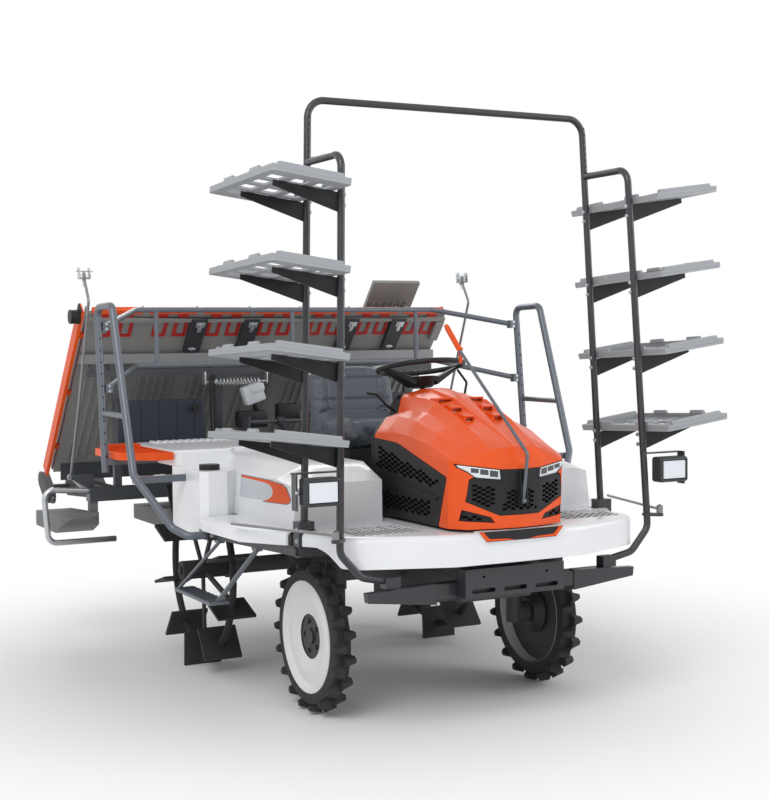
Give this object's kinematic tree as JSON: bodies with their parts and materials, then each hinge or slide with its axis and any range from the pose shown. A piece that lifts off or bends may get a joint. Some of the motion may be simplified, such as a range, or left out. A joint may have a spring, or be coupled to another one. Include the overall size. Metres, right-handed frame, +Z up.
{
  "type": "riding rice transplanter",
  "caption": "Riding rice transplanter with paddle rear wheels, spare-tray rack, orange hood and a raised planting section behind a lift linkage.",
  "frame": {"origin": "on the ground, at the centre of the overall length and width", "axes": "+X to the machine's left, +Y to its rear, +Z up"},
  "size_m": [2.5452, 3.4944, 2.579],
  "materials": {
    "frame_grey": "satin",
    "dark_metal": "satin",
    "cast_grey": "matte",
    "white_deck": "satin",
    "light_plastic": "satin",
    "orange_hood": "gloss",
    "black_plastic": "matte",
    "seat_vinyl": "satin",
    "tyre_rubber": "matte",
    "white_rim": "gloss",
    "galvanised": "satin",
    "lens": "clear",
    "grey_plastic": "matte",
    "platform_grey": "satin",
    "red_belt": "matte",
    "orange_plastic": "satin",
    "rod_steel": "satin"
  },
  "bodies": {
    "chassis": {"chassis_frame": "frame_grey", "engine_block": "cast_grey", "front_axle": "cast_grey", "rear_axle": "cast_grey", "floor_deck": "white_deck", "rear_deck": "white_deck", "seat_base": "black_plastic", "seat_cushion": "seat_vinyl", "dash_column": "black_plastic", "rack_frame": "frame_grey", "trays_right": "light_plastic", "trays_left": "light_plastic", "side_rail_right": "galvanised", "side_rail_left": "galvanised", "rear_handrail": "galvanised", "side_steps": "orange_plastic", "access_steps": "galvanised", "work_lamps": "dark_metal"},
    "steering": {"steering_wheel": "black_plastic"},
    "hood_lid": {"hood": "orange_hood", "hood_grilles": "black_plastic", "headlights": "lens"},
    "center_marker_arm": {"center_marker": "rod_steel"},
    "side_marker_arm_right": {"side_marker_right": "rod_steel"},
    "side_marker_arm_left": {"side_marker_left": "rod_steel"},
    "knuckle_right_body": {"knuckle_right": "cast_grey"},
    "knuckle_left_body": {"knuckle_left": "cast_grey"},
    "front_wheel_right": {"front_rim_right": "white_rim", "front_tyre_right": "tyre_rubber"},
    "front_wheel_left": {"front_rim_left": "white_rim", "front_tyre_left": "tyre_rubber"},
    "rear_wheel_right_body": {"rear_wheel_right": "tyre_rubber"},
    "rear_wheel_left_body": {"rear_wheel_left": "tyre_rubber"},
    "lower_link": {"lift_link_lower": "dark_metal"},
    "upper_link": {"lift_link_upper": "dark_metal"},
    "planting_section": {"planting_frame": "frame_grey", "planting_cases": "cast_grey", "floats": "grey_plastic", "mud_guards": "light_plastic"},
    "rotors": {"planting_rotors": "cast_grey"},
    "platform": {"seedling_platform": "platform_grey", "feed_belts": "red_belt", "platform_guards": "orange_plastic", "folded_section": "platform_grey"},
    "line_marker_arm_right": {"line_marker_right": "rod_steel"},
    "line_marker_arm_left": {"line_marker_left": "rod_steel"}
  },
  "joints": [
    {"name": "steering_turn", "type": "hinge", "parent": "chassis", "child": "steering", "pos_m": [0, -0.8831, 1.467], "axis": [0, 0.1736, 0.9848], "range_deg": [-400, 400]},
    {"name": "knuckle_turn_right", "type": "hinge", "parent": "chassis", "child": "knuckle_right_body", "pos_m": [-0.455, -0.9331, 0.5], "axis": [0, 0, 1], "range_deg": [-40, 40]},
    {"name": "knuckle_turn_left", "type": "hinge", "parent": "chassis", "child": "knuckle_left_body", "pos_m": [0.455, -0.9331, 0.5], "axis": [0, 0, 1], "range_deg": [-40, 40]},
    {"name": "front_wheel_spin_right", "type": "hinge", "parent": "knuckle_right_body", "child": "front_wheel_right", "pos_m": [-0.566, -0.9331, 0.325], "axis": [1, 0, 0], "continuous": true},
    {"name": "front_wheel_spin_left", "type": "hinge", "parent": "knuckle_left_body", "child": "front_wheel_left", "pos_m": [0.566, -0.9331, 0.325], "axis": [1, 0, 0], "continuous": true},
    {"name": "rear_wheel_spin_right", "type": "hinge", "parent": "chassis", "child": "rear_wheel_right_body", "pos_m": [-0.66, 0.1489, 0.475], "axis": [1, 0, 0], "continuous": true},
    {"name": "rear_wheel_spin_left", "type": "hinge", "parent": "chassis", "child": "rear_wheel_left_body", "pos_m": [0.66, 0.1489, 0.475], "axis": [1, 0, 0], "continuous": true},
    {"name": "hood_open", "type": "hinge", "parent": "chassis", "child": "hood_lid", "pos_m": [0, -0.9631, 1.335], "axis": [-1, 0, 0], "range_deg": [0, 40]},
    {"name": "center_marker_fold", "type": "hinge", "parent": "hood_lid", "child": "center_marker_arm", "pos_m": [0, -1.7091, 0.945], "axis": [1, 0, 0], "range_deg": [0, 70]},
    {"name": "side_marker_swing_right", "type": "hinge", "parent": "chassis", "child": "side_marker_arm_right", "pos_m": [-0.775, -1.5931, 0.85], "axis": [0, 0, 1], "range_deg": [0, 100]},
    {"name": "side_marker_swing_left", "type": "hinge", "parent": "chassis", "child": "side_marker_arm_left", "pos_m": [0.775, -1.5931, 0.85], "axis": [0, 0, -1], "range_deg": [0, 100]},
    {"name": "lift", "type": "hinge", "parent": "chassis", "child": "lower_link", "pos_m": [0, 0.0469, 0.602], "axis": [1, 0, 0], "range_deg": [-49, 0]},
    {"name": "lift_upper", "type": "hinge", "parent": "chassis", "child": "upper_link", "pos_m": [0, 0.0469, 0.864], "axis": [1, 0, 0], "range_deg": [-49, 0]},
    {"name": "planting_level", "type": "hinge", "parent": "lower_link", "child": "planting_section", "pos_m": [0, 0.68387, 0.89228], "axis": [1, 0, 0], "range_deg": [0, 49]},
    {"name": "rotor_spin", "type": "hinge", "parent": "planting_section", "child": "rotors", "pos_m": [0, 1.5889, 0.775], "axis": [1, 0, 0], "continuous": true},
    {"name": "platform_slide", "type": "slide", "parent": "planting_section", "child": "platform", "axis": [1, 0, 0], "range_m": [-0.3, 0]},
    {"name": "line_marker_fold_right", "type": "hinge", "parent": "planting_section", "child": "line_marker_arm_right", "pos_m": [-1.1, 0.9089, 0.89], "axis": [0, 1, 0], "range_deg": [-95, 0]},
    {"name": "line_marker_fold_left", "type": "hinge", "parent": "planting_section", "child": "line_marker_arm_left", "pos_m": [1.1, 0.9089, 0.89], "axis": [0, 1, 0], "range_deg": [0, 95]}
  ],
  "couplings": [
    {"joint": "knuckle_turn_right", "follows": "knuckle_turn_left", "ratio": 1},
    {"joint": "steering_turn", "follows": "knuckle_turn_left", "ratio": 10},
    {"joint": "lift_upper", "follows": "lift", "ratio": 1},
    {"joint": "planting_level", "follows": "lift", "ratio": -1}
  ]
}
